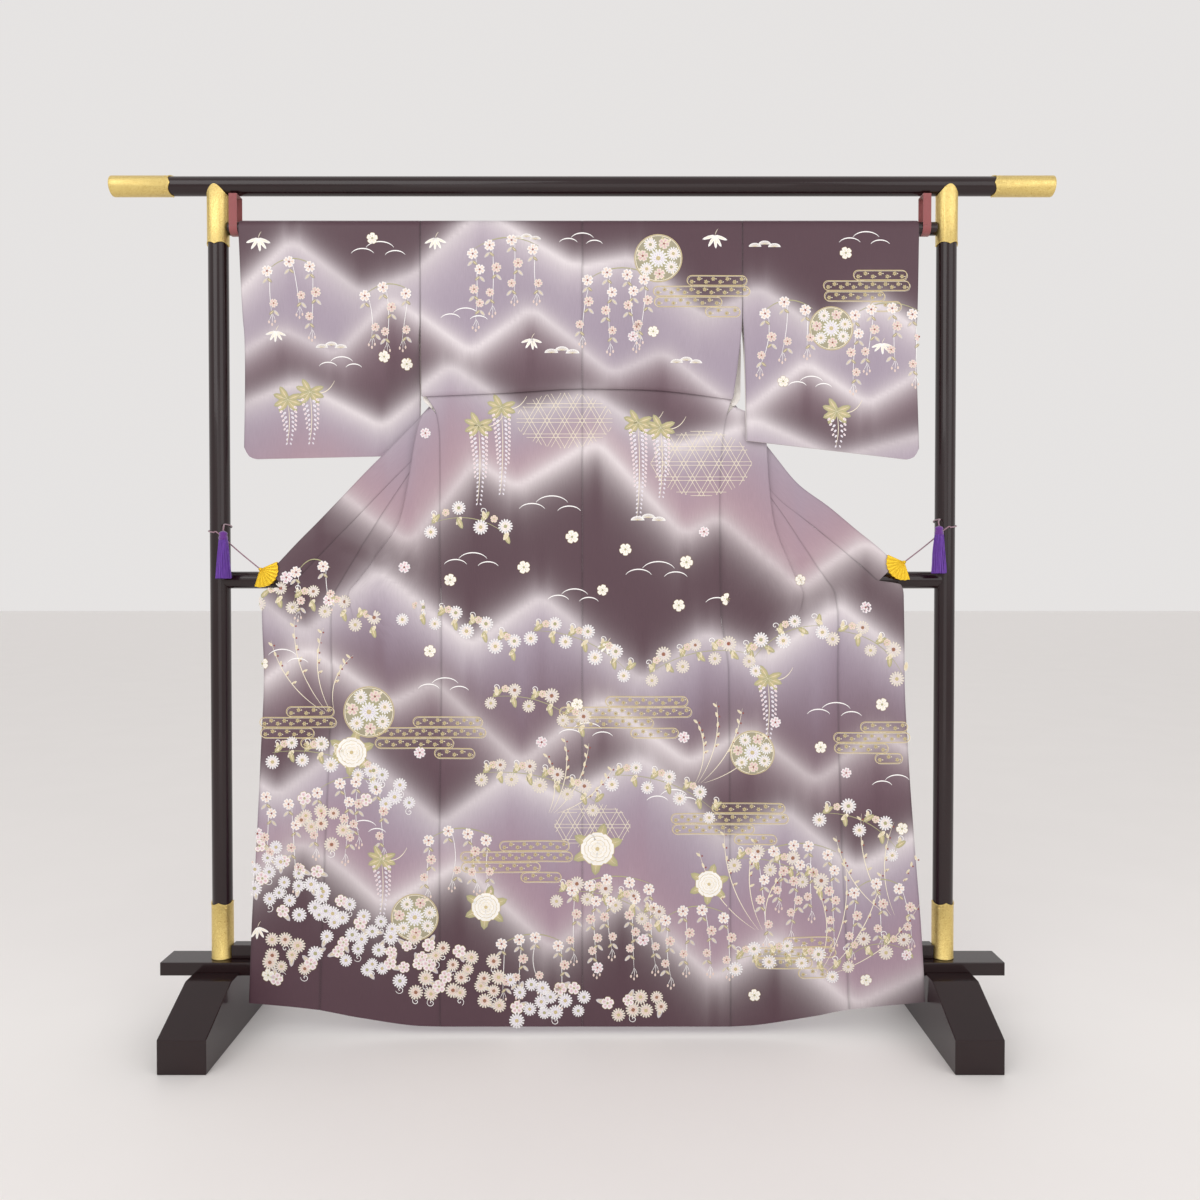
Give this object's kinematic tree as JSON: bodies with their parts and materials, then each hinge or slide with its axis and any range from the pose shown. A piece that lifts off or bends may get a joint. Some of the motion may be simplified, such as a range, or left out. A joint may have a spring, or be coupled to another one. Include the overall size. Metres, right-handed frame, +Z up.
{
  "type": "kimono on a display stand",
  "caption": "Lined silk visiting kimono spread back outwards on a lacquered display stand with gold fittings, fan clips and purple tassels.",
  "frame": {"origin": "on the floor below the middle of the stand", "axes": "+Z up, +X to the right of a viewer who faces the kimono's back, +Y away from that viewer"},
  "size_m": [1.869, 0.38, 1.703],
  "materials": {
    "silk": "dyed silk with a soft sheen",
    "collar_silk": "dyed silk with a soft sheen",
    "lacquer": "gloss black-brown lacquer",
    "gold": "gilt, engraved",
    "fan_gold": "gilt",
    "strap_cloth": "woven tape",
    "cord_cloth": "twisted cord",
    "tassel_silk": "silk thread"
  },
  "bodies": {
    "root": {"body_left": "silk", "body_right": "silk", "overlap_left": "silk", "overlap_right": "silk", "sleeve_left": "silk", "sleeve_right": "silk", "collar_left": "collar_silk", "collar_right": "collar_silk", "top_beam": "lacquer", "hanging_pole": "lacquer", "middle_rail": "lacquer", "post_left": "lacquer", "post_right": "lacquer", "base_board": "lacquer", "stretcher": "lacquer", "foot_left": "lacquer", "foot_right": "lacquer", "beam_cap_left": "gold", "beam_cap_right": "gold", "head_fitting_left": "gold", "head_fitting_right": "gold", "foot_fitting_left": "gold", "foot_fitting_right": "gold", "strap_left": "strap_cloth", "strap_right": "strap_cloth", "fan_clip_left": "fan_gold", "fan_clip_right": "fan_gold", "clip_cord_left": "cord_cloth", "clip_cord_right": "cord_cloth", "tassel_left": "tassel_silk", "tassel_right": "tassel_silk"}
  },
  "joints": []
}
